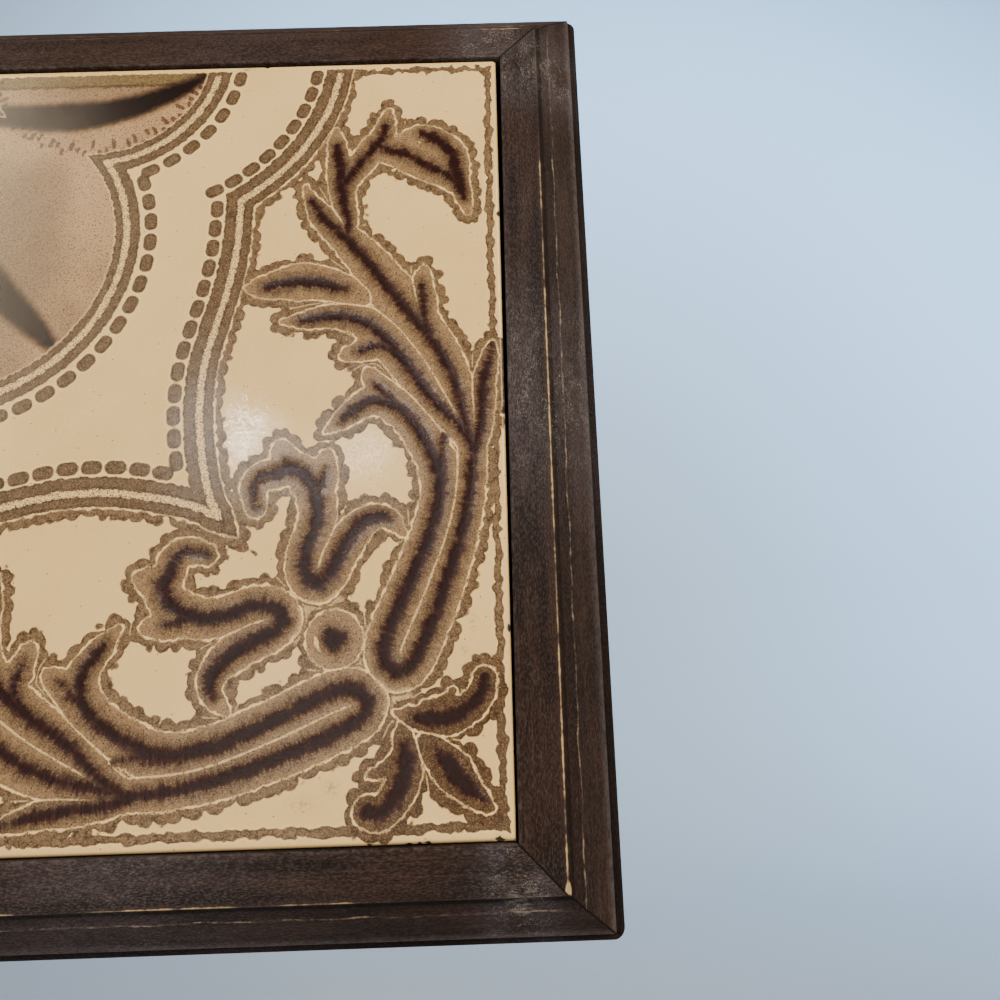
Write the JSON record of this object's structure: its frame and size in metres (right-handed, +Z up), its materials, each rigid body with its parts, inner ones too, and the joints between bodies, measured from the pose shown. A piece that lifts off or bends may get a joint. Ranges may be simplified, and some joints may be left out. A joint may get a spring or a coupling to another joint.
{
  "type": "framed ceramic tile",
  "caption": "Square cream glazed tile with brown scrolling leaf ornament, set flush in a dark stained, mitred and moulded wood frame, to hang on a wall.",
  "frame": {"origin": "on the flat back of the top rail, halfway along it, where the frame is fastened to the wall", "axes": "+Y into the wall, +Z up, +X to the right as seen from the front; the tile faces -Y"},
  "size_m": [0.2466, 0.014, 0.2458],
  "materials": {
    "glaze": "glossy cream glaze over brown underglaze scroll ornament, buff unglazed back",
    "wood": "near-black brown stain, worn along the ridge, satin"
  },
  "bodies": {
    "root": {"tile": "glaze", "rail_top": "wood", "rail_bottom": "wood", "rail_left": "wood", "rail_right": "wood"}
  },
  "joints": []
}
